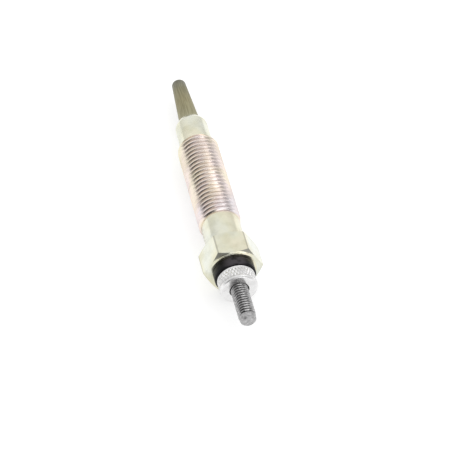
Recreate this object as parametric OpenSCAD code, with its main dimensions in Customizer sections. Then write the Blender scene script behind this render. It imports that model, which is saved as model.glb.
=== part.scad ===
// Metal-sheath glow plug for a diesel engine, lying on one flat of its hex.
// Its axis runs along Y, with the terminal stud at -Y and the heater tip at +Y.
// Each piece is turned along Z, counted from the stud's end, and laid down by one last move.

/* [Terminal stud and rod] */
// Outside diameter of the stud's thread
stud_d = 4; // [3.8:0.1:6]
// Length of the stud in front of the terminal collar
stud_len = 9.6; // [6:0.1:16]
// Diameter of the plain point at the stud's end
point_d = 3.3; // [2.4:0.1:3.6]
// Length of the plain point
point_len = 1.5; // [0.8:0.1:3]
// Bevel round the point's end
point_bevel = 0.5; // [0.2:0.1:0.8]
// Diameter at the bottom of the relief groove where the thread ends
relief_d = 3.1; // [2.6:0.1:3.5]
// Width of the relief groove
relief_len = 0.6; // [0.3:0.1:1.2]
// Diameter of the rod inside the body
rod_d = 3.5; // [3:0.1:3.7]
// Diameter of the rod's front part, inside the sheath
rod_front_d = 2.4; // [2:0.1:3]
// Distance from the rod's step to the open end of the sheath
rod_stand_off = 1; // [0.5:0.1:3]

/* [Terminal collar] */
// Outside diameter of the collar
collar_d = 8.7; // [7:0.1:9.2]
// Length of the collar
collar_len = 3.7; // [2.5:0.1:6]
// Bevel on the collar's front edge
collar_bevel = 0.35; // [0.2:0.05:1]
// Bevel on the collar's back edge
collar_back_bevel = 0.25; // [0.1:0.05:0.5]
// Countersink round the mouth of the collar's hole
collar_mouth = 0.3; // [0.1:0.05:0.6]

/* [Insulating bush] */
// Outside diameter of the bush's flange
flange_d = 9.5; // [8:0.1:10.2]
// Length of the flange between the collar and the hex
flange_len = 2.15; // [1.5:0.05:5]
// Bevel on the flange's and the spigot's edges
bush_bevel = 0.3; // [0.1:0.05:0.6]
// Diameter of the spigot inside the body
spigot_d = 6.4; // [5.6:0.1:7.2]
// Length of the spigot
spigot_len = 3.4; // [2:0.1:5]
// Space between the spigot and the floor of its counterbore, for the seal ring
seal_space = 1.55; // [1.5:0.05:2.5]

/* [Hex and neck] */
// Width across the flats of the hex
hex_af = 12; // [11.5:0.5:16]
// Length of the hex along the axis
hex_len = 6.65; // [5:0.05:10]
// How far inside the flats the corner chamfer starts
hex_chamfer = 0.1; // [0.05:0.05:0.9]
// Slope of the corner chamfer from the hex's end faces
hex_chamfer_angle = 30; // [15:5:45]
// Diameter of the plain neck
neck_d = 9.1; // [8.6:0.1:9.6]
// Length of the neck between the hex and the thread
neck_len = 8.1; // [4:0.1:14]
// Fillet between the neck and the hex
neck_fillet = 0.5; // [0.2:0.1:1]

/* [Body thread] */
// Outside diameter of the body's thread
thread_d = 10; // [9.8:0.1:12]
// Length of the body's thread
thread_len = 27.2; // [14:0.1:40]
// Pitch of the body's thread
thread_pitch = 1.25; // [1:0.25:1.5]

/* [Shank and seat] */
// Diameter of the plain shank between the thread and the seat
shank_d = 8; // [7.4:0.1:8.4]
// Length of the plain shank
shank_len = 7.4; // [3:0.1:14]
// Whole angle of the conical seat
seat_angle = 60; // [45:5:90]
// Rounding where the shank runs into the seat
seat_edge_r = 1.2; // [0.4:0.1:1.6]
// Wall of the body round the sheath at the small end of the seat
nose_wall = 0.4; // [0.3:0.05:0.7]

/* [Body bore] */
// Length of the land that grips the sheath
land_len = 12; // [6:0.5:16]
// Step from the land out to the wider middle bore
bore_step = 0.3; // [0.2:0.05:0.5]

/* [Heater sheath] */
// Outside diameter of the sheath where it leaves the body
sheath_d = 5; // [4.8:0.1:5.4]
// Diameter that the sheath's taper runs out to at its tip
sheath_tip_d = 3.4; // [3.2:0.1:4.6]
// Length of the sheath outside the body
sheath_out = 15.3; // [10:0.1:26]
// Length of the straight part before the taper
sheath_straight = 1; // [0.5:0.1:4]
// Length of the sheath inside the body
sheath_in = 14; // [13:0.1:20]
// Wall of the sheath
sheath_wall = 0.55; // [0.4:0.05:0.6]
// Wall at the closed tip
tip_wall = 0.8; // [0.5:0.1:1.5]
// Rounding of the tip
tip_round = 0.8; // [0.4:0.1:1.2]
// Length of the rubber seal in the sheath's open end
sheath_seal_len = 3; // [1.5:0.1:6]

/* [Heater coils] */
// Diameter of both coils' wire
wire_d = 0.3; // [0.2:0.02:0.36]
// Diameter of both coils at the middle of the wire
coil_d = 1.6; // [1.4:0.05:1.7]
// Turns of the heating coil, in the tip
heating_turns = 9; // [5:1:11]
// Pitch of the heating coil
heating_pitch = 0.8; // [0.6:0.05:0.9]
// Turns of the regulating coil, behind it
regulating_turns = 12; // [6:1:14]
// Pitch of the regulating coil
regulating_pitch = 0.65; // [0.5:0.05:0.7]
// Length of the heating coil's straight lead to the tip
lead_len = 0.6; // [0.4:0.1:1.5]
// Length of the rod's end that carries the regulating coil
rod_tip_len = 1.6; // [1:0.1:3]

/* [Clearances] */
// Radial gap of a pressed or brazed fit
press_gap = 0.01; // [0.005:0.005:0.02]
// Radial gap between two threads that are screwed together
thread_gap = 0.03; // [0.02:0.01:0.06]
// Radial gap of a piece that slips into place
slip_gap = 0.05; // [0.02:0.01:0.1]
// Gap round a wire, a seal or the packed powder
fill_gap = 0.02; // [0.01:0.005:0.03]

/* [Hidden] */
$fn = 72;
cut = 0.1;

// Colours
zinc_plate = [0.87, 0.86, 0.76];
heat_tinted = [0.50, 0.48, 0.38];
coil_wire = [0.55, 0.54, 0.52];
packed_powder = [0.93, 0.92, 0.89];
seal_rubber = [0.20, 0.20, 0.21];
plain_steel = [0.58, 0.58, 0.57];
black_resin = [0.07, 0.07, 0.08];
bright_steel = [0.88, 0.88, 0.89];

// Stations along the axis, from the stud's end to the heater tip
z_collar = stud_len;
z_bush = z_collar + collar_len;
z_hex = z_bush + flange_len;
z_neck = z_hex + hex_len;
z_thread = z_neck + neck_len;
z_shank = z_thread + thread_len;
z_seat = z_shank + shank_len;
nose_d = sheath_d + 2 * (press_gap + nose_wall);
z_nose = z_seat + (shank_d - nose_d) / 2 / tan(seat_angle / 2);
z_tip = z_nose + sheath_out;
plug_len = z_tip;

// Body: thread ends, gland and bores
thread_core_d = thread_d - 1.2269 * thread_pitch;
thread_back_bevel = (thread_d - neck_d) / 2;
thread_front_bevel = (thread_d - thread_core_d) / 2;
seat_edge_run = seat_edge_r * tan(seat_angle / 4);
gland_d = spigot_d + 2 * slip_gap;
z_spigot = z_hex + spigot_len;
z_gland = z_spigot + seal_space;
bore_d = sheath_d + 2 * bore_step;
z_land = z_nose - land_len;

// Sheath: its taper, the centre of the tip's rounding and the end of its hollow
z_sheath = z_nose - sheath_in;
z_taper = z_nose + sheath_straight;
sheath_taper = (sheath_d - sheath_tip_d) / 2 / (z_tip - z_taper);
z_tip_round = z_tip - tip_round;
r_tip_round = sheath_r(z_tip_round) - tip_round / cos(atan(sheath_taper));
z_hollow = z_tip - tip_wall;
sheath_bore_r = sheath_d / 2 - sheath_wall;

// Coils and the rod's end, counted back from the tip
coil_r = coil_d / 2;
lead_bend = 1.2 * wire_d;
z_heating = z_hollow - lead_len - lead_bend - heating_turns * heating_pitch;
z_regulating = z_heating - regulating_turns * regulating_pitch;
z_rod_front = z_regulating - wire_d / 2 - fill_gap;
z_rod_step = z_sheath - rod_stand_off;
rod_tip_r = coil_r - wire_d / 2 - fill_gap;
z_powder = z_sheath + sheath_seal_len;
turn_steps = 16;
bend_steps = 4;
wire_sides = 6;

function sheath_r(z) = sheath_d / 2 - sheath_taper * max(0, z - z_taper);
function climb(pitch) = atan(pitch / (PI * coil_d));

// A wire's path is a list of [angle round the axis, height, slope] on the coil's cylinder.
// Its ends are cut square to the turn, so that the two coils meet face to face.
function coil_path(z, turns, pitch, square_end) = [
    for (i = [0 : turns * turn_steps])
        let (is_end = i == 0 || (square_end && i == turns * turn_steps))
        [360 * i / turn_steps, z + pitch * i / turn_steps, is_end ? 0 : climb(pitch)]
];

// The lead leaves the last turn in a bend and then runs straight to the closed tip.
function lead_path(z, turns, pitch, z_end) = concat(
    [for (i = [1 : bend_steps])
        let (slope = climb(pitch) + (90 - climb(pitch)) * i / bend_steps)
        let (along = lead_bend * (sin(slope) - sin(climb(pitch))))
        [360 * turns + along / coil_r * 180 / PI, z + lead_bend * (cos(climb(pitch)) - cos(slope)), slope]],
    [[360 * turns + lead_bend * (1 - sin(climb(pitch))) / coil_r * 180 / PI, z_end, 90]]
);

function wire_ring(step, thick) =
    let (out = [cos(step[0]), sin(step[0]), 0])
    let (round = [-sin(step[0]), cos(step[0]), 0])
    let (side = cos(step[2]) * [0, 0, 1] - sin(step[2]) * round)
    [for (k = [0 : wire_sides - 1])
        coil_r * out + [0, 0, step[1]]
        + thick / 2 * (cos(360 * k / wire_sides) * out + sin(360 * k / wire_sides) * side)];

// A wire of the given thickness along a path
module wire(path, thick) {
    last = len(path) - 1;
    points = [for (step = path) each wire_ring(step, thick)];
    sides = [for (i = [0 : last - 1]) for (k = [0 : wire_sides - 1])
        let (a = i * wire_sides + k)
        let (b = i * wire_sides + (k + 1) % wire_sides)
        each [[a, b, b + wire_sides], [a, b + wire_sides, a + wire_sides]]];
    start_cap = [for (k = [wire_sides - 1 : -1 : 0]) k];
    end_cap = [for (k = [0 : wire_sides - 1]) last * wire_sides + k];
    polyhedron(points, concat(sides, [start_cap, end_cap]), convexity = 10);
}

module heating_wire(thick) {
    path = coil_path(z_heating, heating_turns, heating_pitch, false);
    lead = lead_path(z_hollow - lead_len - lead_bend, heating_turns, heating_pitch, z_hollow);
    wire(concat(path, lead), thick);
}

module regulating_wire(thick) {
    wire(coil_path(z_regulating, regulating_turns, regulating_pitch, true), thick);
}

// Lays a piece that was turned along Z on the floor, with the plug's middle over the origin
module laid_down() {
    translate([0, -plug_len / 2, hex_af / 2]) rotate([-90, 0, 0]) children();
}

module turned() {
    rotate_extrude() children();
}

module bored(d, z_from, z_to) {
    translate([0, 0, z_from]) cylinder(d = d, h = z_to - z_from);
}

// Hexagon with both ends' corners turned off
module hex_head() {
    corner_r = hex_af / 2 / cos(30);
    face_r = hex_af / 2 - hex_chamfer;
    rise = (corner_r - face_r) * tan(hex_chamfer_angle);
    intersection() {
        translate([0, 0, z_hex]) cylinder(r = corner_r, h = hex_len, $fn = 6);
        turned() polygon([[0, z_hex], [face_r, z_hex], [corner_r, z_hex + rise],
                          [corner_r, z_neck - rise], [face_r, z_neck], [0, z_neck]]);
    }
}

// Half section of the body from the hex to the seat's small end
module body_section() {
    neck_r = neck_d / 2;
    seat_half = seat_angle / 2;
    polygon([[0, z_hex], [neck_r, z_hex], [neck_r, z_thread],
             [thread_d / 2, z_thread + thread_back_bevel], [thread_d / 2, z_shank - thread_front_bevel],
             [thread_core_d / 2, z_shank], [shank_d / 2, z_shank], [shank_d / 2, z_seat - seat_edge_run],
             [shank_d / 2 - seat_edge_run * sin(seat_half), z_seat + seat_edge_run * cos(seat_half)],
             [nose_d / 2, z_nose], [0, z_nose]]);
    translate([shank_d / 2 - seat_edge_r, z_seat - seat_edge_run]) circle(seat_edge_r);
    difference() {
        translate([neck_r - cut, z_neck - cut]) square(neck_fillet + cut);
        translate([neck_r + neck_fillet, z_neck + neck_fillet]) circle(neck_fillet);
    }
}

module body_shell() {
    color(zinc_plate) laid_down() difference() {
        union() {
            hex_head();
            turned() body_section();
        }
        bored(gland_d, z_hex - cut, z_gland);
        bored(bore_d, z_gland - cut, z_land);
        bored(sheath_d + 2 * press_gap, z_land - cut, z_nose + cut);
    }
}

module heater_sheath() {
    color(heat_tinted) laid_down() turned() difference() {
        union() {
            polygon([[0, z_sheath], [sheath_d / 2, z_sheath], [sheath_d / 2, z_taper],
                     [r_tip_round + tip_round * cos(atan(sheath_taper)),
                      z_tip_round + tip_round * sin(atan(sheath_taper))],
                     [r_tip_round, z_tip], [0, z_tip]]);
            translate([r_tip_round, z_tip_round]) circle(tip_round);
        }
        polygon([[0, z_sheath - cut], [sheath_bore_r, z_sheath - cut], [sheath_bore_r, z_taper],
                 [sheath_r(z_hollow) - sheath_wall, z_hollow], [0, z_hollow]]);
    }
}

module heating_coil() {
    color(coil_wire) laid_down() heating_wire(wire_d);
}

module regulating_coil() {
    color(coil_wire) laid_down() regulating_wire(wire_d);
}

// Magnesia packed round the coils and the rod's end, from the seal to the tip
module powder_fill() {
    fill_r = sheath_bore_r - fill_gap;
    color(packed_powder) laid_down() difference() {
        turned() polygon([[0, z_powder], [fill_r, z_powder], [fill_r, z_taper],
                          [sheath_r(z_hollow) - sheath_wall - fill_gap, z_hollow - fill_gap],
                          [0, z_hollow - fill_gap]]);
        bored(rod_front_d + 2 * fill_gap, z_powder - cut, z_rod_front + fill_gap);
        bored(2 * (rod_tip_r + fill_gap), z_rod_front, z_rod_front + rod_tip_len + fill_gap);
        heating_wire(wire_d + 2 * fill_gap);
        regulating_wire(wire_d + 2 * fill_gap);
    }
}

module sheath_seal() {
    color(seal_rubber) laid_down() difference() {
        bored(2 * (sheath_bore_r - fill_gap), z_sheath, z_powder);
        bored(rod_front_d + 2 * fill_gap, z_sheath - cut, z_powder + cut);
    }
}

// One rod from the stud's point to the end that the regulating coil is wound on
module centre_rod() {
    stud_r = stud_d / 2;
    point_r = point_d / 2;
    z_relief = z_collar - relief_len;
    color(plain_steel) laid_down() turned() polygon([
        [0, 0], [point_r - point_bevel, 0], [point_r, point_bevel], [point_r, point_len],
        [stud_r, point_len + stud_r - point_r], [stud_r, z_relief],
        [relief_d / 2, z_relief], [relief_d / 2, z_collar], [stud_r, z_collar],
        [stud_r, z_bush], [rod_d / 2, z_bush], [rod_d / 2, z_rod_step],
        [rod_front_d / 2, z_rod_step], [rod_front_d / 2, z_rod_front],
        [rod_tip_r, z_rod_front], [rod_tip_r, z_rod_front + rod_tip_len], [0, z_rod_front + rod_tip_len]]);
}

// O-ring between the rod and the wall of the body's counterbore
module seal_ring() {
    section_d = (gland_d - rod_d) / 2 - 2 * fill_gap;
    color(seal_rubber) laid_down() turned()
        translate([(gland_d + rod_d) / 4, z_gland - section_d / 2 - fill_gap]) circle(d = section_d);
}

module insulating_bush() {
    hole_r = stud_d / 2 + slip_gap;
    color(black_resin) laid_down() turned() polygon([
        [hole_r, z_bush], [flange_d / 2 - bush_bevel, z_bush], [flange_d / 2, z_bush + bush_bevel],
        [flange_d / 2, z_hex], [spigot_d / 2, z_hex], [spigot_d / 2, z_spigot - bush_bevel],
        [spigot_d / 2 - bush_bevel, z_spigot], [hole_r, z_spigot]]);
}

module terminal_collar() {
    hole_r = stud_d / 2 + thread_gap;
    collar_r = collar_d / 2;
    color(bright_steel) laid_down() turned() polygon([
        [hole_r + collar_mouth, z_collar], [collar_r - collar_bevel, z_collar],
        [collar_r, z_collar + collar_bevel], [collar_r, z_bush - collar_back_bevel],
        [collar_r - collar_back_bevel, z_bush], [hole_r, z_bush], [hole_r, z_collar + collar_mouth]]);
}

body_shell();
heater_sheath();
heating_coil();
regulating_coil();
powder_fill();
sheath_seal();
centre_rod();
seal_ring();
insulating_bush();
terminal_collar();
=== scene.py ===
import math

import bpy
from mathutils import Matrix, Vector


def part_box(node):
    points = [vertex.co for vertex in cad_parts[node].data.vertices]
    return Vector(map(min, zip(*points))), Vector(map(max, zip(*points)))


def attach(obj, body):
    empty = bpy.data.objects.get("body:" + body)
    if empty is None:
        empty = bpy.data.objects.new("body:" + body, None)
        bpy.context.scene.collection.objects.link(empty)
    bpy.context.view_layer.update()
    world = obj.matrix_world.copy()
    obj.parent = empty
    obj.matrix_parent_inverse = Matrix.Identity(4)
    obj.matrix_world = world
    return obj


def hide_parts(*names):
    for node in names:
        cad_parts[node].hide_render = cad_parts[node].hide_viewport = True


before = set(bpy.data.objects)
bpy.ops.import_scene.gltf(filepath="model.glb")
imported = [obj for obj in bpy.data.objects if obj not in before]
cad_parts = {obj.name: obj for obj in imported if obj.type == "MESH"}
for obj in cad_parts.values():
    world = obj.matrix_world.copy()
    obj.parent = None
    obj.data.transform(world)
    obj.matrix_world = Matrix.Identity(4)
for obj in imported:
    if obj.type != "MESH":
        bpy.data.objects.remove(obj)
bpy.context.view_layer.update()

MM = 0.001

# Places along the plug's axis and radii round it, as the frame gives them.
# The axis runs along Y, from the terminal stud's end to the heater tip.
rod_low, rod_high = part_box("centre_rod")
collar_low, collar_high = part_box("terminal_collar")
_, bush_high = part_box("insulating_bush")
body_low, body_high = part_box("body_shell")
sheath_low, sheath_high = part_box("heater_sheath")
AXIS_Z = (body_low.z + body_high.z) / 2
STUD_END = rod_low.y
ROD_END = rod_high.y
COLLAR_FRONT = collar_low.y
BUSH_FRONT = collar_high.y
SPIGOT_END = bush_high.y
HEX_FRONT = body_low.y
NOSE = body_high.y
SHEATH_BACK = sheath_low.y
TIP = sheath_high.y
STUD_R = rod_high.x
COLLAR_R = collar_high.x
FLANGE_R = bush_high.x
HEX_HALF = (body_high.z - body_low.z) / 2
SHEATH_R = sheath_high.x

# Terminal stud and rod
POINT_R = 1.82 * MM
POINT_LEN = 1.5 * MM
POINT_BEVEL = 0.55 * MM
STUD_START = STUD_END + POINT_LEN
STUD_PITCH = 0.7 * MM
STUD_RUN_IN = 0.05 * MM
STUD_EASE = 0.12 * MM
STUD_EASE_STEPS = 2
ROD_R = 1.75 * MM
ROD_FRONT_R = 1.2 * MM
ROD_STEP = SHEATH_BACK - 1.0 * MM
ROD_TIP_R = 0.63 * MM
ROD_TIP_LEN = 1.6 * MM

# Terminal collar, with a knurled band between two plain edges
COLLAR_BEVEL = 0.35 * MM
COLLAR_BACK_BEVEL = 0.25 * MM
COLLAR_HOLE_R = STUD_R + 0.22 * MM
COLLAR_MOUTH = 0.06 * MM
COLLAR_EASE = 0.07 * MM
COLLAR_EASE_STEPS = 2
KNURL_FRONT = COLLAR_FRONT + 0.8 * MM
KNURL_BACK = BUSH_FRONT - 0.55 * MM
KNURL_TEETH = 36
KNURL_DEPTH = 0.13 * MM
KNURL_PROUD = 0.04 * MM
KNURL_LEAN = math.radians(16)
KNURL_STEPS = 6

# Insulating bush
BUSH_HOLE_R = STUD_R + 0.05 * MM
BUSH_BEVEL = 0.3 * MM
BUSH_EASE = 0.12 * MM
BUSH_EASE_STEPS = 3
SPIGOT_R = 3.2 * MM

# Body: hex, neck, thread, shank and conical seat
HEX_SIDES = 6
HEX_LEN = 6.65 * MM
HEX_CHAMFER = 0.1 * MM
HEX_CHAMFER_ANGLE = math.radians(30)
HEX_FACE_R = HEX_HALF - HEX_CHAMFER
HEX_RIM = 0.45 * MM
HEX_RIM_ANGLE = math.radians(12)
HEX_RIM_RISE = HEX_RIM * math.tan(HEX_RIM_ANGLE)
HEX_EASE = 0.05 * MM
HEX_EASE_STEPS = 2
NECK_R = 4.55 * MM
NECK_LEN = 8.1 * MM
NECK_FILLET = 0.5 * MM
THREAD_R = 5.0 * MM
THREAD_PITCH = 1.25 * MM
THREAD_LEN = 27.2 * MM
THREAD_RUN_IN = 1.1 * MM
SHANK_R = 4.0 * MM
SHANK_LEN = 7.4 * MM
SEAT_HALF_ANGLE = math.radians(30)
SEAT_EDGE_R = 1.2 * MM
NOSE_R = SHEATH_R + 0.41 * MM
GLAND_R = SPIGOT_R + 0.05 * MM
GLAND_END = SPIGOT_END + 1.55 * MM
BORE_R = SHEATH_R + 0.3 * MM
LAND_START = NOSE - 12.0 * MM
LAND_R = SHEATH_R + 0.01 * MM
HEX_BACK = HEX_FRONT + HEX_LEN
THREAD_START = HEX_BACK + NECK_LEN
THREAD_END = THREAD_START + THREAD_LEN
SEAT_START = THREAD_END + SHANK_LEN

# Heater sheath
TAPER_START = NOSE + 1.0 * MM
TIP_R = 1.7 * MM
TIP_ROUND = 0.8 * MM
SHEATH_WALL = 0.55 * MM
TIP_WALL = 0.8 * MM

# Thread form: depth and root rounding as shares of the pitch, and half the angle between flanks.
# A thread is rolled some turns too long and then trimmed.
THREAD_DEPTH = 0.58
ROOT_ROUND = 0.11
FLANK = math.radians(30)
TURNS_BEFORE = 1.5
TURNS_SPARE = 2

# Fineness of the meshes
TURN_STEPS = 96
THREAD_STEPS = 72
ARC_STEPS = 5
WELD = 0.0005 * MM

# How far joined shapes overlap, and how far a cutting shape stands out of what it cuts
SKIN = 0.03 * MM
OVERSHOOT = 1.0 * MM

# Angles between faces: eased to a rounding, shaded as an edge, and kept crisp on the hex
EASE_ANGLE = math.radians(20)
SMOOTH_ANGLE = math.radians(28)
CRISP_ANGLE = math.radians(9)


# Modelling by hand

def pick(piece):
    bpy.ops.object.select_all(action="DESELECT")
    piece.select_set(True)
    bpy.context.view_layer.objects.active = piece


def edit_all(piece):
    pick(piece)
    bpy.ops.object.mode_set(mode="EDIT")
    bpy.ops.mesh.select_mode(type="VERT")
    bpy.ops.mesh.select_all(action="SELECT")


def leave_edit():
    bpy.ops.object.mode_set(mode="OBJECT")


def apply_modifier(piece, modifier):
    pick(piece)
    bpy.ops.object.modifier_apply(modifier=modifier.name)


def settle(piece):
    """Puts a piece's place into its mesh, welds it and turns its faces outwards."""
    pick(piece)
    bpy.ops.object.transform_apply(location=True, rotation=True, scale=True)
    edit_all(piece)
    bpy.ops.mesh.remove_doubles(threshold=WELD)
    bpy.ops.mesh.normals_make_consistent(inside=False)
    leave_edit()
    return piece


def clear_slivers(piece):
    """Takes out the faces and edges without size that cutting leaves behind."""
    edit_all(piece)
    bpy.ops.mesh.dissolve_degenerate(threshold=WELD)
    leave_edit()
    return settle(piece)


def arc(centre, radius, start, end):
    """Points of an arc. An angle of 0 points away from the axis, and 90 degrees along it."""
    centre_r, centre_along = centre
    turn_by = (end - start) / ARC_STEPS
    angles = [start + turn_by * step for step in range(ARC_STEPS + 1)]
    return [(centre_r + radius * math.cos(a), centre_along + radius * math.sin(a)) for a in angles]


def draw_line(name, points):
    """Draws a line through points of (radius, along), by pulling one vertex from point to point."""
    bpy.ops.object.select_all(action="DESELECT")
    bpy.ops.mesh.primitive_plane_add(size=MM, location=(0, 0, AXIS_Z))
    piece = bpy.context.object
    piece.name = name
    edit_all(piece)
    bpy.ops.mesh.merge(type="CENTER")
    places = [Vector((radius, along, 0)) for radius, along in points]
    bpy.ops.transform.translate(value=places[0])
    for here, there in zip(places, places[1:]):
        bpy.ops.mesh.extrude_region_move(TRANSFORM_OT_translate={"value": there - here})
    leave_edit()
    return piece


def turn(name, points):
    """Turns a half section of (radius, along) points about the plug's axis, as on a lathe."""
    piece = draw_line(name, points)
    edit_all(piece)
    bpy.ops.mesh.remove_doubles(threshold=WELD)
    bpy.ops.mesh.spin(steps=TURN_STEPS, angle=2 * math.pi, center=(0, 0, AXIS_Z), axis=(0, 1, 0))
    leave_edit()
    return settle(piece)


def sweep_round(piece, travel, steps, angle=2 * math.pi, turns=1):
    """Sweeps an outline round the plug's axis while it travels along it, and closes the ends."""
    sweep = piece.modifiers.new("sweep", "SCREW")
    sweep.axis = "Y"
    sweep.angle = angle
    sweep.screw_offset = travel
    sweep.iterations = turns
    sweep.steps = steps
    sweep.render_steps = steps
    apply_modifier(piece, sweep)
    edit_all(piece)
    bpy.ops.mesh.remove_doubles(threshold=WELD)
    bpy.ops.mesh.fill_holes(sides=0)
    leave_edit()
    return settle(piece)


def ease_edges(piece, width, steps):
    bevel = piece.modifiers.new("eased_edges", "BEVEL")
    bevel.width = width
    bevel.segments = steps
    bevel.limit_method = "ANGLE"
    bevel.angle_limit = EASE_ANGLE
    bevel.use_clamp_overlap = False
    apply_modifier(piece, bevel)


def sharpen(piece, angle, front, back):
    """Keeps the edges of a stretch crisp, where its faces meet at more than an angle."""
    edit_all(piece)
    bpy.ops.mesh.select_mode(type="EDGE")
    bpy.ops.mesh.select_all(action="DESELECT")
    bpy.ops.mesh.edges_select_sharp(sharpness=angle)
    leave_edit()
    vertices = piece.data.vertices
    for edge in piece.data.edges:
        inside = all(front <= vertices[end].co.y <= back for end in edge.vertices)
        edge.use_edge_sharp = edge.select and inside


def combine(piece, tool, operation):
    """Adds a tool to a piece, cuts the piece with it, or keeps what lies inside both."""
    boolean = piece.modifiers.new(operation.lower(), "BOOLEAN")
    boolean.operation = operation
    boolean.solver = "MANIFOLD"
    boolean.object = tool
    apply_modifier(piece, boolean)
    bpy.data.objects.remove(tool, do_unlink=True)
    return piece


def thread_tooth(pitch, crest_r, start):
    """One tooth's outline from root to root, with the root and the crest rounded into the flanks."""
    depth = THREAD_DEPTH * pitch
    root_round = ROOT_ROUND * pitch
    spare = pitch / 2 - root_round * math.cos(FLANK)
    spare -= (depth - root_round * (1 - math.sin(FLANK))) * math.tan(FLANK)
    crest_round = spare / (math.cos(FLANK) - (1 - math.sin(FLANK)) * math.tan(FLANK))
    reach = math.pi / 2 - FLANK
    root_centre_r = crest_r - depth + root_round
    rising = arc((root_centre_r, start), root_round, math.pi, math.pi - reach)
    crest = arc((crest_r - crest_round, start + pitch / 2), crest_round, -reach, reach)
    falling = arc((root_centre_r, start + pitch), root_round, math.pi + reach, math.pi)
    return rising + crest + falling


def roll_thread(name, pitch, crest_r, start, end):
    """A right-handed helical thread with closed ends, longer at both than the stretch it is for."""
    piece = draw_line(name, thread_tooth(pitch, crest_r, start - TURNS_BEFORE * pitch))
    turns = math.ceil((end - start) / pitch) + TURNS_SPARE
    return sweep_round(piece, pitch, THREAD_STEPS, turns=turns)


# Terminal stud and rod, one piece from the stud's point to the end that carries the coil

def make_rod():
    stud_stop = COLLAR_FRONT + STUD_RUN_IN
    core_r = STUD_R - THREAD_DEPTH * STUD_PITCH - SKIN
    rod_front = ROD_END - ROD_TIP_LEN
    rod = turn("terminal_stud_and_rod", [
        (0, STUD_END), (POINT_R - POINT_BEVEL, STUD_END), (POINT_R, STUD_END + POINT_BEVEL),
        (POINT_R, STUD_START), (core_r, STUD_START + STUD_PITCH / 2), (core_r, stud_stop),
        (STUD_R, stud_stop + STUD_PITCH), (STUD_R, BUSH_FRONT), (ROD_R, BUSH_FRONT),
        (ROD_R, ROD_STEP), (ROD_FRONT_R, ROD_STEP), (ROD_FRONT_R, rod_front),
        (ROD_TIP_R, rod_front), (ROD_TIP_R, ROD_END), (0, ROD_END)])
    ease_edges(rod, STUD_EASE, STUD_EASE_STEPS)
    thread = roll_thread("stud_thread", STUD_PITCH, STUD_R, STUD_START, stud_stop)
    trim_r = STUD_R + SKIN
    trim_stop = stud_stop + STUD_PITCH / 2
    blank = turn("stud_blank", [
        (0, STUD_START), (POINT_R, STUD_START), (trim_r, STUD_START + trim_r - POINT_R),
        (trim_r, trim_stop), (0, trim_stop)])
    combine(thread, blank, "INTERSECT")
    combine(rod, thread, "UNION")
    return clear_slivers(rod)


# Terminal collar

def knurl_prism(name, lean):
    """A toothed ring swept along the band, with its teeth leaning one way."""
    crest_r = COLLAR_R + KNURL_PROUD
    bpy.ops.object.select_all(action="DESELECT")
    bpy.ops.mesh.primitive_circle_add(
        vertices=2 * KNURL_TEETH, radius=crest_r, location=(0, KNURL_FRONT, AXIS_Z),
        rotation=(math.pi / 2, 0, 0))
    prism = bpy.context.object
    prism.name = name
    bpy.ops.object.transform_apply(location=False, rotation=True, scale=True)
    edit_all(prism)
    bpy.ops.mesh.select_all(action="DESELECT")
    leave_edit()
    for vertex in prism.data.vertices:
        vertex.select = vertex.index % 2 == 0
    shrink = (COLLAR_R - KNURL_DEPTH) / crest_r
    bpy.ops.object.mode_set(mode="EDIT")
    bpy.ops.transform.resize(value=(shrink, 1, shrink), center_override=(0, KNURL_FRONT, AXIS_Z))
    leave_edit()
    return sweep_round(prism, KNURL_BACK - KNURL_FRONT, KNURL_STEPS, angle=lean)


def make_collar():
    band_r = COLLAR_R - KNURL_DEPTH - SKIN
    collar = turn("knurled_terminal_collar", [
        (0, COLLAR_FRONT), (COLLAR_R - COLLAR_BEVEL, COLLAR_FRONT), (COLLAR_R, COLLAR_FRONT + COLLAR_BEVEL),
        (COLLAR_R, KNURL_FRONT - KNURL_DEPTH), (band_r, KNURL_FRONT + SKIN), (band_r, KNURL_BACK - SKIN),
        (COLLAR_R, KNURL_BACK + KNURL_DEPTH), (COLLAR_R, BUSH_FRONT - COLLAR_BACK_BEVEL),
        (COLLAR_R - COLLAR_BACK_BEVEL, BUSH_FRONT), (0, BUSH_FRONT)])
    ease_edges(collar, COLLAR_EASE, COLLAR_EASE_STEPS)
    knurl = combine(knurl_prism("knurl", KNURL_LEAN), knurl_prism("knurl_back", -KNURL_LEAN), "INTERSECT")
    rim_front = KNURL_FRONT - OVERSHOOT
    rim_back = KNURL_BACK + OVERSHOOT
    rim = turn("knurl_rim", [(0, rim_front), (COLLAR_R, rim_front), (COLLAR_R, rim_back), (0, rim_back)])
    combine(knurl, rim, "INTERSECT")
    combine(collar, knurl, "UNION")
    hole_front = COLLAR_FRONT - OVERSHOOT
    hole_back = BUSH_FRONT + OVERSHOOT
    hole = turn("collar_hole", [
        (0, hole_front), (COLLAR_HOLE_R + COLLAR_MOUTH + OVERSHOOT, hole_front),
        (COLLAR_HOLE_R, COLLAR_FRONT + COLLAR_MOUTH), (COLLAR_HOLE_R, hole_back), (0, hole_back)])
    combine(collar, hole, "DIFFERENCE")
    return clear_slivers(collar)


# Insulating bush

def make_bush():
    bush = turn("insulating_bush_moulding", [
        (BUSH_HOLE_R, BUSH_FRONT), (FLANGE_R - BUSH_BEVEL, BUSH_FRONT), (FLANGE_R, BUSH_FRONT + BUSH_BEVEL),
        (FLANGE_R, HEX_FRONT), (SPIGOT_R, HEX_FRONT), (SPIGOT_R, SPIGOT_END - BUSH_BEVEL),
        (SPIGOT_R - BUSH_BEVEL, SPIGOT_END), (BUSH_HOLE_R, SPIGOT_END), (BUSH_HOLE_R, BUSH_FRONT)])
    ease_edges(bush, BUSH_EASE, BUSH_EASE_STEPS)
    return bush


# Body

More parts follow.
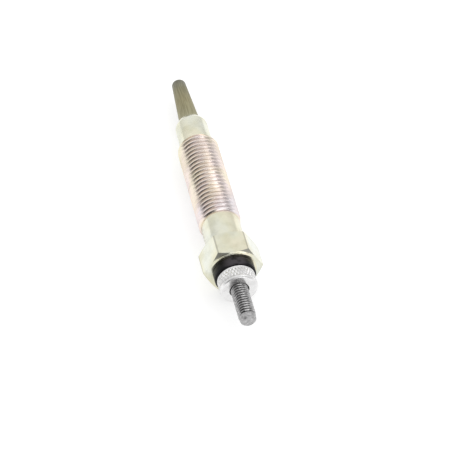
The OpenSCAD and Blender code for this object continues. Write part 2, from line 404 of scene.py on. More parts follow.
def make_hex():
    """A hexagonal bar, with the corners of both ends turned off to a cone."""
    half_side = math.pi / HEX_SIDES
    corner_r = HEX_HALF / math.cos(half_side)
    middle = (HEX_FRONT + HEX_BACK) / 2
    bpy.ops.object.select_all(action="DESELECT")
    bpy.ops.mesh.primitive_cylinder_add(
        vertices=HEX_SIDES, radius=corner_r, depth=HEX_LEN + 2 * OVERSHOOT,
        location=(0, middle, AXIS_Z), rotation=(math.pi / 2, half_side, 0))
    bar = bpy.context.object
    bar.name = "hex"
    settle(bar)
    drum_r = corner_r + OVERSHOOT
    rise = (drum_r - HEX_FACE_R) * math.tan(HEX_CHAMFER_ANGLE)
    cone_front = HEX_FRONT + HEX_RIM_RISE
    drum = turn("hex_drum", [
        (0, HEX_FRONT), (HEX_FACE_R - HEX_RIM, HEX_FRONT), (HEX_FACE_R, cone_front),
        (drum_r, cone_front + rise), (drum_r, HEX_BACK - rise), (HEX_FACE_R, HEX_BACK), (0, HEX_BACK)])
    combine(bar, drum, "INTERSECT")
    settle(bar)
    ease_edges(bar, HEX_EASE, HEX_EASE_STEPS)
    return settle(bar)


def make_thread():
    thread = roll_thread("body_thread", THREAD_PITCH, THREAD_R, THREAD_START, THREAD_END)
    core_r = THREAD_R - THREAD_DEPTH * THREAD_PITCH
    trim_r = THREAD_R + SKIN
    blank = turn("thread_blank", [
        (0, THREAD_START), (NECK_R, THREAD_START), (trim_r, THREAD_START + trim_r - NECK_R),
        (trim_r, THREAD_END - (trim_r - core_r)), (core_r, THREAD_END), (0, THREAD_END)])
    return combine(thread, blank, "INTERSECT")


def make_body():
    core_r = THREAD_R - THREAD_DEPTH * THREAD_PITCH - SKIN
    inside_hex = HEX_FRONT + OVERSHOOT
    fillet_r = NECK_R + NECK_FILLET
    fillet = arc((fillet_r, HEX_BACK + NECK_FILLET), NECK_FILLET, 1.5 * math.pi, math.pi)
    seat_run = SEAT_EDGE_R * math.tan(SEAT_HALF_ANGLE / 2)
    seat_edge = arc((SHANK_R - SEAT_EDGE_R, SEAT_START - seat_run), SEAT_EDGE_R, 0, SEAT_HALF_ANGLE)
    body = turn("plated_body", [
        (0, inside_hex), (fillet_r, inside_hex), *fillet,
        (NECK_R, THREAD_START), (core_r, THREAD_START + THREAD_RUN_IN), (core_r, THREAD_END - 2 * SKIN),
        (SHANK_R, THREAD_END - SKIN), *seat_edge, (NOSE_R, NOSE), (0, NOSE)])
    combine(body, make_hex(), "UNION")
    combine(body, make_thread(), "UNION")
    bore_front = HEX_FRONT - OVERSHOOT
    bore_back = NOSE + OVERSHOOT
    bore = turn("body_bore", [
        (0, bore_front), (GLAND_R, bore_front), (GLAND_R, GLAND_END), (BORE_R, GLAND_END),
        (BORE_R, LAND_START), (LAND_R, LAND_START), (LAND_R, bore_back), (0, bore_back)])
    combine(body, bore, "DIFFERENCE")
    clear_slivers(body)
    sharpen(body, CRISP_ANGLE, HEX_FRONT - SKIN, HEX_BACK + SKIN)
    return body


# Heater sheath, a tube closed and rounded at the tip

def make_sheath():
    taper = (SHEATH_R - TIP_R) / (TIP - TAPER_START)
    lean = math.atan(taper)
    round_along = TIP - TIP_ROUND
    round_r = SHEATH_R - taper * (round_along - TAPER_START) - TIP_ROUND / math.cos(lean)
    tip_arc = arc((round_r, round_along), TIP_ROUND, lean, math.pi / 2)
    bore_r = SHEATH_R - SHEATH_WALL
    hollow = TIP - TIP_WALL
    hollow_r = bore_r - taper * (hollow - TAPER_START)
    return turn("heater_tube", [
        (bore_r, SHEATH_BACK), (SHEATH_R, SHEATH_BACK), (SHEATH_R, TAPER_START), *tip_arc, (0, TIP),
        (0, hollow), (hollow_r, hollow), (bore_r, TAPER_START), (bore_r, SHEATH_BACK)])


# Finishes. A REACH, SIDE, HEIGHT or FADE in them is in millimetres, as the place group measures.
# A SPAN is the part of a noise that shows, and a SHARE is how much of a colour is laid on.
RISING = (0.0, 1.0)
FALLING = (1.0, 0.0)
METAL = {"Metallic": 1.0}
NOT_METAL = {"Metallic": 0.0}
WHITE = (1, 1, 1)


def add_node(tree, kind, sockets=None, **settings):
    """Adds a shader node. A socket's entry is a plain value, or another node's output to link."""
    node = tree.nodes.new("ShaderNode" + kind)
    for name, value in settings.items():
        setattr(node, name, value)
    for name, value in (sockets or {}).items():
        if isinstance(value, bpy.types.NodeSocket):
            tree.links.new(value, node.inputs[name])
        else:
            node.inputs[name].default_value = value
    return node


def add_math(tree, operation, first, second):
    node = add_node(tree, "Math", {0: first, 1: second}, operation=operation)
    return node.outputs[0]


def add_scaled(tree, value, factor, base):
    """A value times a factor, added to a base."""
    node = add_node(tree, "Math", {0: value, 1: factor, 2: base}, operation="MULTIPLY_ADD")
    return node.outputs[0]


def add_span(tree, value, span, onto=RISING):
    """Carries a value from one span over to another, with soft ends."""
    low, high = span
    start, stop = onto
    node = add_node(
        tree, "MapRange",
        {"Value": value, "From Min": low, "From Max": high, "To Min": start, "To Max": stop},
        interpolation_type="SMOOTHSTEP")
    return node.outputs[0]


def add_noise(tree, place, scale, detail, stretch=(1, 1, 1)):
    moved = add_node(tree, "VectorMath", {0: place, 1: stretch}, operation="MULTIPLY")
    node = add_node(tree, "TexNoise", {"Vector": moved.outputs[0], "Scale": scale, "Detail": detail})
    return node.outputs[0]


# The mixing node takes its share at 0, numbers at 2 and 3, and colours at 6 and 7.
# It gives a number at 0 and a colour at 2.

def add_level(tree, share, under, over):
    """Goes from one number to another by a share from 0 to 1."""
    node = add_node(tree, "Mix", {0: share, 2: under, 3: over})
    return node.outputs[0]


def opaque(colour):
    return (*colour, 1) if isinstance(colour, tuple) else colour


def add_blend(tree, share, under, over, kind="MIX"):
    """Lays one colour over another by a share from 0 to 1."""
    node = add_node(
        tree, "Mix", {0: share, 6: opaque(under), 7: opaque(over)}, data_type="RGBA", blend_type=kind)
    return node.outputs[2]


def add_coat(tree, under, mask, share, over, kind="MIX"):
    """Lays a colour over another where a mask shows, and there by a share."""
    return add_blend(tree, add_math(tree, "MULTIPLY", mask, share), under, over, kind)


def add_ramp(tree, value, stops):
    """Colours by a value, through stops of (position, colour)."""
    node = add_node(tree, "ValToRGB", {"Fac": value})
    elements = node.color_ramp.elements
    while len(elements) < len(stops):
        elements.new(0.5)
    for element, (position, colour) in zip(elements, stops):
        element.position = position
        element.color = opaque(colour)
    return node.outputs[0]


def new_group(name, inputs, outputs):
    """An empty shader node group, with the sockets that its users see."""
    group = bpy.data.node_groups.new(name, "ShaderNodeTree")
    for socket, kind in inputs.items():
        group.interface.new_socket(socket, in_out="INPUT", socket_type="NodeSocket" + kind)
    for socket, kind in outputs.items():
        group.interface.new_socket(socket, in_out="OUTPUT", socket_type="NodeSocket" + kind)
    entry = group.nodes.new("NodeGroupInput")
    result = group.nodes.new("NodeGroupOutput")
    return group, entry.outputs, result.inputs


def make_place_group():
    """Millimetres from the middle of the plug's axis: aside, along, above and straight out."""
    group, _, result = new_group("plug_place", {}, {
        "Place": "Vector", "Aside": "Float", "Along": "Float", "Above": "Float", "Radius": "Float"})
    spot = add_node(group, "TexCoord")
    place = add_node(group, "Mapping", {
        "Vector": spot.outputs["Object"], "Location": (0, 0, -AXIS_Z / MM),
        "Scale": (1 / MM, 1 / MM, 1 / MM)})
    parts = add_node(group, "SeparateXYZ", {0: place.outputs[0]})
    spoke = add_node(group, "VectorMath", {0: place.outputs[0], 1: (1, 0, 1)}, operation="MULTIPLY")
    reach = add_node(group, "VectorMath", {0: spoke.outputs[0]}, operation="LENGTH")
    group.links.new(place.outputs[0], result["Place"])
    group.links.new(parts.outputs["X"], result["Aside"])
    group.links.new(parts.outputs["Y"], result["Along"])
    group.links.new(parts.outputs["Z"], result["Above"])
    group.links.new(reach.outputs["Value"], result["Radius"])
    return group


SMUDGE_SCALE = 0.32
SMUDGE_SPAN = (0.38, 0.66)
GRAIN_SCALE = 9
SCRATCH_STRETCH = (7, 0.3, 7)
SCRATCH_SPAN = (0.64, 0.72)


def make_handling_group():
    """Marks of use: broad smudges, a fine grain and thin scratches along the plug."""
    group, entry, result = new_group(
        "handling", {"Place": "Vector"}, {"Smudge": "Float", "Grain": "Float", "Scratch": "Float"})
    smudge = add_noise(group, entry["Place"], scale=SMUDGE_SCALE, detail=4)
    grain = add_noise(group, entry["Place"], scale=GRAIN_SCALE, detail=3)
    lines = add_noise(group, entry["Place"], scale=1, detail=2, stretch=SCRATCH_STRETCH)
    group.links.new(add_span(group, smudge, SMUDGE_SPAN), result["Smudge"])
    group.links.new(grain, result["Grain"])
    group.links.new(add_span(group, lines, SCRATCH_SPAN), result["Scratch"])
    return group


RING_SCALE = 7.0
RING_DETAIL = 3.0


def make_turning_group():
    """The fine rings that a lathe tool leaves, by the distance that the tool travelled."""
    group, entry, result = new_group("turning_rings", {"Travel": "Float"}, {"Height": "Float"})
    rings = add_node(
        group, "TexNoise", {"W": entry["Travel"], "Scale": RING_SCALE, "Detail": RING_DETAIL},
        noise_dimensions="1D")
    group.links.new(rings.outputs[0], result["Height"])
    return group


GROOVE_PATCH_SCALE = 1.1
GROOVE_UNEVEN = 0.3
GROOVE_FULL = 0.15


def make_groove_group():
    """Painted shade and dirt in the bottom of a groove between a root and a crest radius."""
    group, entry, result = new_group(
        "groove_dirt_and_shade",
        {"Place": "Vector", "Radius": "Float", "Root": "Float", "Crest": "Float", "Fill": "Float"},
        {"Dirt_and_shade": "Float"})
    rise = add_math(group, "SUBTRACT", entry["Radius"], entry["Root"])
    height = add_math(group, "SUBTRACT", entry["Crest"], entry["Root"])
    level = add_math(group, "DIVIDE", rise, height)
    patches = add_noise(group, entry["Place"], scale=GROOVE_PATCH_SCALE, detail=3)
    uneven = add_scaled(group, patches, GROOVE_UNEVEN, level)
    group.links.new(add_span(group, uneven, (GROOVE_FULL, entry["Fill"]), FALLING), result["Dirt_and_shade"])
    return group


plug_place = make_place_group()
handling = make_handling_group()
turning_rings = make_turning_group()
groove_dirt_and_shade = make_groove_group()


def new_finish(name, fixed):
    """A material with its own shader, whose unchanging values are set here by socket."""
    material = bpy.data.materials.new(name)
    material.use_nodes = True
    tree = material.node_tree
    shader = tree.nodes["Principled BSDF"]
    for socket, value in fixed.items():
        shader.inputs[socket].default_value = value
    return material, tree, shader


def stand_on(tree):
    """The place and the marks of use at a point, for a material to build on."""
    here = add_node(tree, "Group", node_tree=plug_place).outputs
    marks = add_node(tree, "Group", {"Place": here["Place"]}, node_tree=handling).outputs
    return here, marks


def add_rings(tree, travel):
    return add_node(tree, "Group", {"Travel": travel}, node_tree=turning_rings).outputs["Height"]


def add_groove(tree, here, root, crest, fill):
    """Painted shade and dirt between a root and a crest radius, filled up to a share of the groove's
    height.
    """
    group = add_node(tree, "Group", {
        "Place": here["Place"], "Radius": here["Radius"],
        "Root": root / MM, "Crest": crest / MM, "Fill": fill}, node_tree=groove_dirt_and_shade)
    return group.outputs["Dirt_and_shade"]


def beside(place, fade):
    """The span of a fade that begins and ends some millimetres before or after a place."""
    before, after = fade
    return (place / MM + before, place / MM + after)


def add_stretch(tree, here, start, fade_in, end, fade_out):
    """Marks a stretch of the plug's length, faded in at its start and out at its end."""
    begun = add_span(tree, here["Along"], beside(start, fade_in))
    going = add_span(tree, here["Along"], beside(end, fade_out), FALLING)
    return add_math(tree, "MULTIPLY", begun, going)


def add_relief(tree, shader, height, depth, strength):
    bump = add_node(tree, "Bump", {"Height": height, "Strength": strength, "Distance": depth})
    tree.links.new(bump.outputs[0], shader.inputs["Normal"])


# Zinc plate with a thin passivation film, whose colour drifts from straw to pink and lilac
FILM = [
    (0.0, (0.79, 0.81, 0.74)), (0.2, (0.79, 0.775, 0.61)), (0.38, (0.84, 0.785, 0.62)),
    (0.52, (0.89, 0.785, 0.68)), (0.66, (0.85, 0.745, 0.73)), (0.82, (0.76, 0.73, 0.77)),
    (1.0, (0.76, 0.81, 0.72))]
FILM_PLAIN = 0.2
FILM_ON_THREAD = (0.47, 0.24)
FILM_ON_HEX = (-0.02, -0.25)
FILM_DRIFT = (-0.2, 0.2)
DRIFT_SCALE = 0.15
DRIFT_STRETCH = (1, 0.7, 1)
DRIFT_SPAN = (0.2, 0.8)
THREAD_FADE_IN = (-0.6, 0.8)
THREAD_FADE_OUT = (-0.4, 0.5)
HEX_REACH = (5.15, 5.3)
HEX_SIDE = (3.2, 4.6)

# Smudges on the plate, dirt and painted shade in its thread, grey lines along the hex corners, and painted
# shade on the dull front cone
ZINC_SMUDGE = (0.7, 0.69, 0.6)
ZINC_SMUDGE_SHARE = 0.35
THREAD_GROOVE = 0.72 * MM
THREAD_FILL = 0.7
THREAD_DIRT_AND_SHADE = (0.16, 0.13, 0.115)
THREAD_DIRT_AND_SHADE_SHARE = 0.35
CORNER_REACH = (6.76, 6.86)
CORNER_LINE = (0.36, 0.35, 0.29)
CORNER_LINE_SHARE = 0.55
CONE_FADE = (0.03, 0.09)
CONE_REACH = (6.02, 6.14)
CONE_HEIGHT = (1.5, 4.5)
CONE_SHADE_BY_HEIGHT = (0.12, 1.0)
CONE_PAINTED_SHADE = (0.24, 0.24, 0.215)
CONE_PAINTED_SHADE_SHARE = 0.88

# The plate's roughness, less on the hex, and the relief of its turned and drawn surfaces
ZINC_ROUGH = (0.15, 0.24)
ZINC_GRAIN_ROUGH = 0.06
THREAD_DIRT_ROUGH = 0.2
HEX_SMOOTHER = (1.0, 0.75)
CONE_ROUGH = 0.42
DRAWN_STRETCH = (6, 0.3, 6)
ZINC_GRAIN = 0.35
ZINC_RELIEF = 0.012 * MM
ZINC_RELIEF_STRENGTH = 0.35


def zinc_film(tree, here, on_thread, on_hex):
    """The plate's colour, by the thickness of the film on its thread, its hex and the rest."""
    thread_film = add_span(tree, here["Along"], (THREAD_START / MM, THREAD_END / MM), FILM_ON_THREAD)
    film = add_scaled(tree, on_thread, thread_film, FILM_PLAIN)
    drift = add_noise(tree, here["Place"], scale=DRIFT_SCALE, detail=3, stretch=DRIFT_STRETCH)
    drifted = add_math(tree, "ADD", film, add_span(tree, drift, DRIFT_SPAN, FILM_DRIFT))
    hex_film = add_span(tree, here["Aside"], HEX_SIDE, FILM_ON_HEX)
    return add_ramp(tree, add_scaled(tree, on_hex, hex_film, drifted), FILM)


def hex_cone_shade(tree, here):
    """Marks the cone turned at the hex's front corners, most at the upper ones, for its painted shade and
    its duller plate.
    """
    slope = math.tan(HEX_CHAMFER_ANGLE)
    cone_start = HEX_FRONT + HEX_RIM_RISE - HEX_FACE_R * slope
    rise = add_scaled(tree, here["Radius"], -slope, here["Along"])
    on_cone = add_span(tree, rise, beside(cone_start, CONE_FADE), FALLING)
    at_corners = add_math(tree, "MULTIPLY", on_cone, add_span(tree, here["Radius"], CONE_REACH))
    return add_math(tree, "MULTIPLY", at_corners, add_span(tree, here["Above"], CONE_HEIGHT, CONE_SHADE_BY_HEIGHT))


def make_zinc():
    material, tree, shader = new_finish("zinc_plate", METAL)
    here, marks = stand_on(tree)
    on_thread = add_stretch(tree, here, THREAD_START, THREAD_FADE_IN, THREAD_END, THREAD_FADE_OUT)
    on_hex = add_span(tree, here["Radius"], HEX_REACH)
    on_cone = hex_cone_shade(tree, here)
    corners = add_span(tree, here["Radius"], CORNER_REACH)
    # Painted shade and dirt darken the bottom of the thread's groove.
    groove = add_groove(tree, here, THREAD_R - THREAD_GROOVE, THREAD_R, THREAD_FILL)
    dirt_and_shade = add_math(tree, "MULTIPLY", groove, on_thread)
    film = zinc_film(tree, here, on_thread, on_hex)
    smudged = add_coat(tree, film, marks["Smudge"], ZINC_SMUDGE_SHARE, ZINC_SMUDGE, "MULTIPLY")
    dirtied_and_shaded = add_coat(tree, smudged, dirt_and_shade, THREAD_DIRT_AND_SHADE_SHARE, THREAD_DIRT_AND_SHADE)
    lined = add_coat(tree, dirtied_and_shaded, corners, CORNER_LINE_SHARE, CORNER_LINE)
    # Painted shade on the front cone, a painted dark reflection, most at the upper hex corners.
    colour = add_coat(tree, lined, on_cone, CONE_PAINTED_SHADE_SHARE, CONE_PAINTED_SHADE)
    tree.links.new(colour, shader.inputs["Base Color"])
    rough = add_span(tree, marks["Smudge"], RISING, ZINC_ROUGH)
    grainy = add_scaled(tree, marks["Grain"], ZINC_GRAIN_ROUGH, rough)
    dusty = add_scaled(tree, dirt_and_shade, THREAD_DIRT_ROUGH, grainy)
    smoother = add_math(tree, "MULTIPLY", dusty, add_span(tree, on_hex, RISING, HEX_SMOOTHER))
    tree.links.new(add_level(tree, on_cone, smoother, CONE_ROUGH), shader.inputs["Roughness"])
    drawn = add_noise(tree, here["Place"], scale=1, detail=3, stretch=DRAWN_STRETCH)
    tooled = add_level(tree, on_hex, add_rings(tree, here["Along"]), drawn)
    relief = add_scaled(tree, marks["Grain"], ZINC_GRAIN, tooled)
    add_relief(tree, shader, relief, ZINC_RELIEF, ZINC_RELIEF_STRENGTH)
    return material


# Bright steel of the collar, turned on its face and darker in the knurl, with dirt and painted shade in its
# grooves
COLLAR_STEEL = [(0.0, (0.85, 0.846, 0.844)), (1.0, (0.72, 0.716, 0.714))]
KNURL_FADE_IN = (-0.2, 0.1)
KNURL_FADE_OUT = (-0.1, 0.2)
KNURL_GROOVE = KNURL_DEPTH + 0.02 * MM
KNURL_FILL = 0.95
KNURL_DIRT_AND_SHADE = (0.22, 0.22, 0.22)
KNURL_DIRT_AND_SHADE_SHARE = 0.16
COLLAR_ROUGH = (0.18, 0.3)
COLLAR_GRAIN = 0.2
COLLAR_RELIEF = 0.01 * MM
COLLAR_RELIEF_STRENGTH = 0.3


def make_bright_steel():
    material, tree, shader = new_finish("bright_steel", METAL)
    here, marks = stand_on(tree)
    on_band = add_stretch(tree, here, KNURL_FRONT, KNURL_FADE_IN, KNURL_BACK, KNURL_FADE_OUT)
    # Painted shade and dirt darken the bottom of the knurl's grooves.
    groove = add_groove(tree, here, COLLAR_R - KNURL_GROOVE, COLLAR_R, KNURL_FILL)
    dirt_and_shade = add_math(tree, "MULTIPLY", groove, on_band)
    base = add_ramp(tree, marks["Smudge"], COLLAR_STEEL)
    colour = add_coat(tree, base, dirt_and_shade, KNURL_DIRT_AND_SHADE_SHARE, KNURL_DIRT_AND_SHADE)
    tree.links.new(colour, shader.inputs["Base Color"])
    tree.links.new(add_span(tree, marks["Smudge"], RISING, COLLAR_ROUGH), shader.inputs["Roughness"])
    relief = add_scaled(tree, marks["Grain"], COLLAR_GRAIN, add_rings(tree, here["Radius"]))
    add_relief(tree, shader, relief, COLLAR_RELIEF, COLLAR_RELIEF_STRENGTH)
    return material


# Plain steel of the stud and rod, oiled dark and with painted shade in the stud's thread
STUD_STEEL = [(0.32, (0.29, 0.287, 0.288)), (0.66, (0.54, 0.536, 0.538))]
BLOTCH_SCALE = 2.2
STUD_FADE_IN = (-0.1, 0.2)
STUD_FADE_OUT = (0.0, 0.3)
STUD_GROOVE = 0.41 * MM
STUD_FILL = 1.05
STUD_OIL_AND_SHADE = (0.03, 0.03, 0.03)
STUD_OIL_AND_SHADE_SHARE = 0.92
STUD_ROUGH = (0.2, 0.3)
ROD_ROUGH = 0.42
STUD_GRAIN = 0.4
STUD_RELIEF = 0.01 * MM
STUD_RELIEF_STRENGTH = 0.3


def make_plain_steel():
    material, tree, shader = new_finish("plain_steel", METAL)
    here, marks = stand_on(tree)
    on_thread = add_stretch(tree, here, STUD_START, STUD_FADE_IN, COLLAR_FRONT, STUD_FADE_OUT)
    # Painted shade and oil darken the bottom of the stud's thread.
    groove = add_groove(tree, here, STUD_R - STUD_GROOVE, STUD_R, STUD_FILL)
    oil_and_shade = add_math(tree, "MULTIPLY", groove, on_thread)
    blotches = add_noise(tree, here["Place"], scale=BLOTCH_SCALE, detail=5)
    base = add_ramp(tree, blotches, STUD_STEEL)
    colour = add_coat(tree, base, oil_and_shade, STUD_OIL_AND_SHADE_SHARE, STUD_OIL_AND_SHADE)
    tree.links.new(colour, shader.inputs["Base Color"])
    rough = add_span(tree, marks["Smudge"], RISING, STUD_ROUGH)
    tree.links.new(add_level(tree, on_thread, ROD_ROUGH, rough), shader.inputs["Roughness"])
    relief = add_scaled(tree, marks["Grain"], STUD_GRAIN, add_rings(tree, here["Along"]))
    add_relief(tree, shader, relief, STUD_RELIEF, STUD_RELIEF_STRENGTH)
    return material


# Black moulded resin with a little dust and a painted sheen on top
RESIN = [(0.0, (0.006, 0.006, 0.007)), (1.0, (0.058, 0.052, 0.058))]
RESIN_SPECULAR = 0.15
DUST_AND_SHEEN_SCALE = 0.55
DUST_AND_SHEEN_SPAN = (0.34, 0.52)
DUST_AND_SHEEN_HEIGHT = (3.7, 4.7)
RESIN_GRAIN_SPAN = (0.25, 0.75)
RESIN_ROUGH = (0.28, 0.46)
RESIN_RELIEF = 0.01 * MM
RESIN_RELIEF_STRENGTH = 0.25


def make_black_resin():
    fixed = {**NOT_METAL, "Specular IOR Level": RESIN_SPECULAR}
    material, tree, shader = new_finish("black_resin", fixed)
    here, marks = stand_on(tree)
    # Dust and a painted sheen lighten the top of the bush.
    patches = add_span(tree, add_noise(tree, here["Place"], scale=DUST_AND_SHEEN_SCALE, detail=3), DUST_AND_SHEEN_SPAN)
    dust_and_sheen = add_math(tree, "MULTIPLY", patches, add_span(tree, here["Above"], DUST_AND_SHEEN_HEIGHT))
    tree.links.new(add_ramp(tree, dust_and_sheen, RESIN), shader.inputs["Base Color"])
    rough = add_span(tree, marks["Grain"], RESIN_GRAIN_SPAN, RESIN_ROUGH)
    tree.links.new(rough, shader.inputs["Roughness"])
    add_relief(tree, shader, marks["Grain"], RESIN_RELIEF, RESIN_RELIEF_STRENGTH)
    return material


# Sheath, tinted by heat from nose to tip and streaked along its length
SHEATH_TINT = [
    (0.0, (0.45, 0.43, 0.29)), (0.18, (0.4, 0.375, 0.235)), (0.5, (0.36, 0.325, 0.19)),
    (0.82, (0.31, 0.29, 0.185)), (1.0, (0.25, 0.245, 0.19))]
TINT_SCALE = 0.4
TINT_WANDER = 0.14
STREAK_STRETCH = (5, 0.09, 5)
STREAK_SPAN = (0.3, 0.7)
STREAK_SHARE = (0.0, 0.5)
STREAK_SHADE = (0.55, 0.54, 0.52)
SCRATCH_METAL = (0.5, 0.48, 0.4)
SCRATCH_SHARE = 0.35
SHEATH_ROUGH = (0.45, 0.6)
SHEATH_METALLIC = (0.55, 0.75)
SHEATH_GRAIN = 0.4
SHEATH_RELIEF = 0.02 * MM
SHEATH_RELIEF_STRENGTH = 0.3


def make_heat_tint():
    material, tree, shader = new_finish("heat_tinted_sheath", {})
    here, marks = stand_on(tree)
    travel = add_node(
        tree, "MapRange", {"Value": here["Along"], "From Min": NOSE / MM, "From Max": TIP / MM})
    drift = add_noise(tree, here["Place"], scale=TINT_SCALE, detail=3)
    tint = add_ramp(tree, add_scaled(tree, drift, TINT_WANDER, travel.outputs[0]), SHEATH_TINT)
    streaks = add_noise(tree, here["Place"], scale=1, detail=4, stretch=STREAK_STRETCH)
    streak_share = add_span(tree, streaks, STREAK_SPAN, STREAK_SHARE)
    streaked = add_blend(tree, streak_share, tint, STREAK_SHADE, "MULTIPLY")
    scratched = add_coat(tree, streaked, marks["Scratch"], SCRATCH_SHARE, SCRATCH_METAL)
    tree.links.new(scratched, shader.inputs["Base Color"])
    tree.links.new(add_span(tree, streaks, STREAK_SPAN, SHEATH_ROUGH), shader.inputs["Roughness"])
    tree.links.new(add_span(tree, streaks, STREAK_SPAN, SHEATH_METALLIC), shader.inputs["Metallic"])
    relief = add_scaled(tree, marks["Grain"], SHEATH_GRAIN, streaks)
    add_relief(tree, shader, relief, SHEATH_RELIEF, SHEATH_RELIEF_STRENGTH)
    return material


# Grain of the inner pieces: the span of it that their roughness follows
INNER_GRAIN_SPAN = (0.2, 0.8)

# Resistance wire of both coils, drawn and then darkened by heat
WIRE_STAIN = [(0.3, (0.26, 0.25, 0.24)), (0.7, (0.42, 0.4, 0.37))]
WIRE_STAIN_SCALE = 1.5
WIRE_ROUGH = (0.35, 0.55)
WIRE_RELIEF = 0.005 * MM
WIRE_RELIEF_STRENGTH = 0.3


def make_coil_wire():
    material, tree, shader = new_finish("coil_wire", METAL)
    here, marks = stand_on(tree)
    stain = add_noise(tree, here["Place"], scale=WIRE_STAIN_SCALE, detail=3)
    tree.links.new(add_ramp(tree, stain, WIRE_STAIN), shader.inputs["Base Color"])
    tree.links.new(add_span(tree, marks["Grain"], INNER_GRAIN_SPAN, WIRE_ROUGH), shader.inputs["Roughness"])
    add_relief(tree, shader, marks["Grain"], WIRE_RELIEF, WIRE_RELIEF_STRENGTH)
    return material


# Magnesia powder, packed hard
POWDER = [(0.0, (0.86, 0.85, 0.82)), (0.9, (0.72, 0.71, 0.67))]
POWDER_SCALE = 8.0
POWDER_SOIL = (0.6, 0.58, 0.54)
POWDER_SOIL_SHARE = 0.3
POWDER_ROUGH = (0.8, 0.95)
POWDER_RELIEF = 0.03 * MM
POWDER_RELIEF_STRENGTH = 0.6


def make_packed_powder():
    material, tree, shader = new_finish("packed_powder", NOT_METAL)
    here, marks = stand_on(tree)
    cells = add_node(tree, "TexVoronoi", {"Vector": here["Place"], "Scale": POWDER_SCALE})
    grains = cells.outputs["Distance"]
    clean = add_ramp(tree, grains, POWDER)
    soiled = add_coat(tree, clean, marks["Smudge"], POWDER_SOIL_SHARE, POWDER_SOIL, "MULTIPLY")
    tree.links.new(soiled, shader.inputs["Base Color"])
    rough = add_span(tree, marks["Grain"], INNER_GRAIN_SPAN, POWDER_ROUGH)
    tree.links.new(rough, shader.inputs["Roughness"])
    add_relief(tree, shader, grains, POWDER_RELIEF, POWDER_RELIEF_STRENGTH)
    return material


# Rubber of the seals, with a bloom of powder
RUBBER = [(0.0, (0.022, 0.022, 0.023)), (1.0, (0.055, 0.054, 0.052))]
RUBBER_ROUGH = (0.6, 0.78)
RUBBER_RELIEF = 0.02 * MM
RUBBER_RELIEF_STRENGTH = 0.4


def make_seal_rubber():
    material, tree, shader = new_finish("seal_rubber", NOT_METAL)
    _, marks = stand_on(tree)
    tree.links.new(add_ramp(tree, marks["Smudge"], RUBBER), shader.inputs["Base Color"])
    rough = add_span(tree, marks["Grain"], INNER_GRAIN_SPAN, RUBBER_ROUGH)
    tree.links.new(rough, shader.inputs["Roughness"])
    add_relief(tree, shader, marks["Grain"], RUBBER_RELIEF, RUBBER_RELIEF_STRENGTH)
    return material


def dress(piece, material, slot, *nodes):
    """Gives a new piece its finish, and the body and nodes that it stands for. Its slot is not used."""
    piece.data.materials.clear()
    piece.data.materials.append(material)
    pick(piece)
    bpy.ops.object.shade_smooth_by_angle(angle=SMOOTH_ANGLE)
    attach(piece, "root")
    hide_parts(*nodes)


def dress_node(name, material):
    """Gives a piece that keeps its shape from the frame its finish."""
    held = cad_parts[name]
    held.data.materials.clear()
    held.data.materials.append(material)


dress(make_body(), make_zinc(), "zinc_plate", "body_shell")
dress(make_collar(), make_bright_steel(), "bright_steel", "terminal_collar")
dress(make_rod(), make_plain_steel(), "plain_steel", "centre_rod")
dress(make_bush(), make_black_resin(), "black_resin", "insulating_bush")
dress(make_sheath(), make_heat_tint(), "heat_tinted_sheath", "heater_sheath")
wire = make_coil_wire()
dress_node("heating_coil", wire)
dress_node("regulating_coil", wire)
dress_node("powder_fill", make_packed_powder())
rubber = make_seal_rubber()
dress_node("sheath_seal", rubber)
dress_node("seal_ring", rubber)


# Floor, tilted to touch both the hex and the thread. It is lifted to white where it is seen
HEX_TOUCH = HEX_BACK - 0.4 * MM
THREAD_TOUCH = THREAD_END - 0.8 * MM
FLOOR_TILT = math.atan((HEX_HALF - THREAD_R) / (THREAD_TOUCH - HEX_TOUCH))
FLOOR_SIZE = 6.0
FLOOR_WHITE = (0.58, 0.58, 0.58)
FLOOR_LIFT = 0.575


def make_floor():
    bpy.ops.object.select_all(action="DESELECT")
    bpy.ops.mesh.primitive_plane_add(
        size=FLOOR_SIZE, location=(0, HEX_TOUCH, 0), rotation=(FLOOR_TILT, 0, 0))
    floor = bpy.context.object
    floor.name = "floor"
    material = bpy.data.materials.new("white_floor")
    material.use_nodes = True
    tree = material.node_tree
    tree.nodes.clear()
    path = add_node(tree, "LightPath").outputs
    seen_or_mirrored = add_math(tree, "MAXIMUM", path["Is Camera Ray"], path["Is Glossy Ray"])
    seen = add_math(tree, "MAXIMUM", seen_or_mirrored, path["Is Transmission Ray"])
    lift = add_math(tree, "MULTIPLY", seen, FLOOR_LIFT)
    glow = add_node(tree, "Emission", {"Color": opaque(WHITE), "Strength": lift})
    matt = add_node(tree, "BsdfDiffuse", {"Color": opaque(FLOOR_WHITE)})
    both = add_node(tree, "AddShader", {0: glow.outputs[0], 1: matt.outputs[0]})
    add_node(tree, "OutputMaterial", {"Surface": both.outputs[0]})
    floor.data.materials.append(material)


# Light of the room, by direction: a white sweep behind the plug, a bright ceiling, and dark low
# down in front, darker on the left. The sweep grows brighter as it rises to the ceiling
SWEEP_START = (-0.86, -0.5)
CEILING_START = (0.33, 0.7)
SWEEP_RISE = (0.0, 0.6)
SWEEP_LEVELS = (0.78, 0.96)
ROOM_WIDTH = (-0.25, 0.5)
ROOM_LEVELS = (0.07, 0.32)


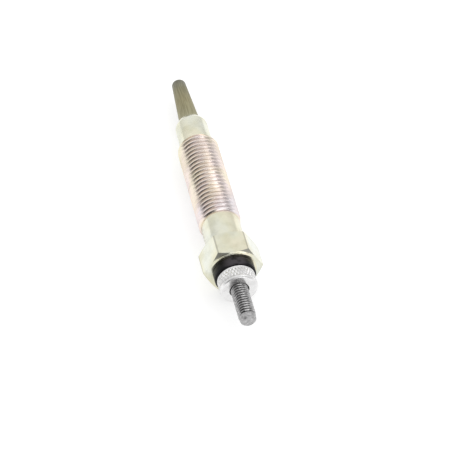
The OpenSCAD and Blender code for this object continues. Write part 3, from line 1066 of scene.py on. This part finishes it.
def make_world():
    world = bpy.data.worlds.new("studio")
    bpy.context.scene.world = world
    world.use_nodes = True
    tree = world.node_tree
    tree.nodes.clear()
    place = add_node(tree, "TexCoord")
    split = add_node(tree, "SeparateXYZ", {0: place.outputs["Generated"]}).outputs
    sweep = add_span(tree, split["Y"], SWEEP_START)
    ceiling = add_span(tree, split["Z"], CEILING_START)
    cover = add_math(tree, "MAXIMUM", sweep, ceiling)
    paper = add_span(tree, split["Z"], SWEEP_RISE, SWEEP_LEVELS)
    room = add_span(tree, split["X"], ROOM_WIDTH, ROOM_LEVELS)
    level = add_level(tree, cover, room, paper)
    back = add_node(tree, "Background", {"Color": opaque(WHITE), "Strength": level})
    add_node(tree, "OutputWorld", {"Surface": back.outputs[0]})


FRONT_SOFTBOX_PLACE = (0.235, -0.77, 0.14)
FRONT_SOFTBOX_SIZE = 0.48
FRONT_SOFTBOX_LEVEL = 1.45
TOP_SOFTBOX_PLACE = (0.5, 0.1, 0.8)
TOP_SOFTBOX_SIZE = 0.5
TOP_SOFTBOX_LEVEL = 1.1


def add_softbox(name, place, size, level):
    """A square lamp that faces the plug and, seen in a mirror, is as bright as its level."""
    lamp = bpy.data.lights.new(name, "AREA")
    lamp.shape = "SQUARE"
    lamp.size = size
    lamp.energy = level * math.pi * size * size
    softbox = bpy.data.objects.new(name, lamp)
    bpy.context.scene.collection.objects.link(softbox)
    softbox.location = place
    softbox.rotation_euler = (-Vector(place)).to_track_quat("-Z", "Y").to_euler()


# The camera is placed from the photograph: its azimuth and elevation, a point of the plug's axis
# and that point's distance in metres. The pixel that shows the point and the focal length are in
# the photograph's pixels
PHOTO_PIXELS = 450
AZIMUTH = math.radians(-11.95)
ELEVATION = math.radians(45)
DISTANCE = 0.382
FOCAL_PIXELS = 1620
AIM = Vector((0, 2.5 * MM, AXIS_Z))
AIM_PIXEL = (208.8, 186.7)
SENSOR_MM = 36
CLIP_START = 0.01
CLIP_END = 20


def make_camera():
    level_back = math.cos(ELEVATION)
    back = Vector((
        math.sin(AZIMUTH) * level_back, -math.cos(AZIMUTH) * level_back, math.sin(ELEVATION)))
    right = Vector((math.cos(AZIMUTH), math.sin(AZIMUTH), 0))
    up = back.cross(right)
    pixel_across, pixel_down = AIM_PIXEL
    across = (pixel_across - PHOTO_PIXELS / 2) / FOCAL_PIXELS * DISTANCE
    above = (PHOTO_PIXELS / 2 - pixel_down) / FOCAL_PIXELS * DISTANCE
    data = bpy.data.cameras.new("camera")
    data.sensor_width = SENSOR_MM
    data.lens = SENSOR_MM * FOCAL_PIXELS / PHOTO_PIXELS
    data.clip_start = CLIP_START
    data.clip_end = CLIP_END
    camera = bpy.data.objects.new("camera", data)
    bpy.context.scene.collection.objects.link(camera)
    camera.location = AIM + back * DISTANCE - right * across - up * above
    camera.rotation_euler = Matrix((right, up, back)).transposed().to_euler()
    bpy.context.scene.camera = camera


make_floor()
make_world()
add_softbox("front_softbox", FRONT_SOFTBOX_PLACE, FRONT_SOFTBOX_SIZE, FRONT_SOFTBOX_LEVEL)
add_softbox("top_softbox", TOP_SOFTBOX_PLACE, TOP_SOFTBOX_SIZE, TOP_SOFTBOX_LEVEL)
make_camera()
bpy.context.scene.view_settings.view_transform = "Standard"
